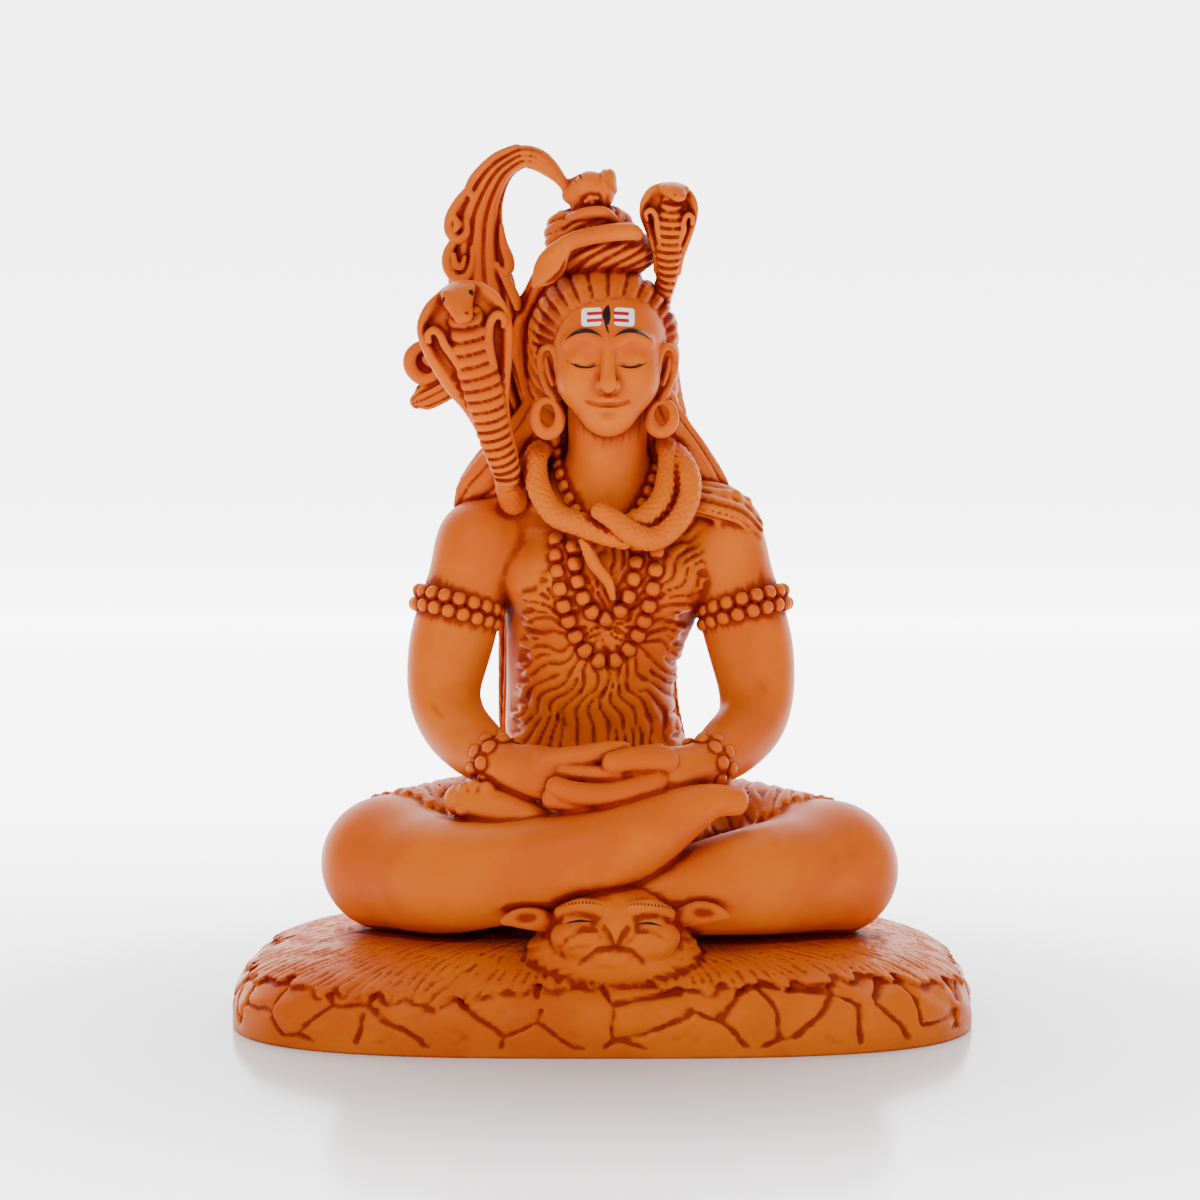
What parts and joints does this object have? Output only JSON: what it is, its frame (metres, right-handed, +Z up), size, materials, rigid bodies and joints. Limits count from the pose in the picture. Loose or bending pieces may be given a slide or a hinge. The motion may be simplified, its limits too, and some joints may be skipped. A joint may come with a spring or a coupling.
{
  "type": "shiva figure",
  "caption": "Cast resin figure of Shiva seated in meditation on a tiger skin over a low rocky mound, with cobras, beads and an arch of water. Stands on its flat underside.",
  "frame": {"origin": "on the flat underside of the mound, at the middle of the part's width and depth", "axes": "+Z up; the figure faces -Y; +X is to the right of someone who looks at its face"},
  "size_m": [0.21, 0.129, 0.2479],
  "materials": {
    "painted_resin": "matte to satin orange paint with a brick-red wash in the hollows"
  },
  "bodies": {
    "root": {"shiva_figure": "painted_resin"}
  },
  "joints": []
}
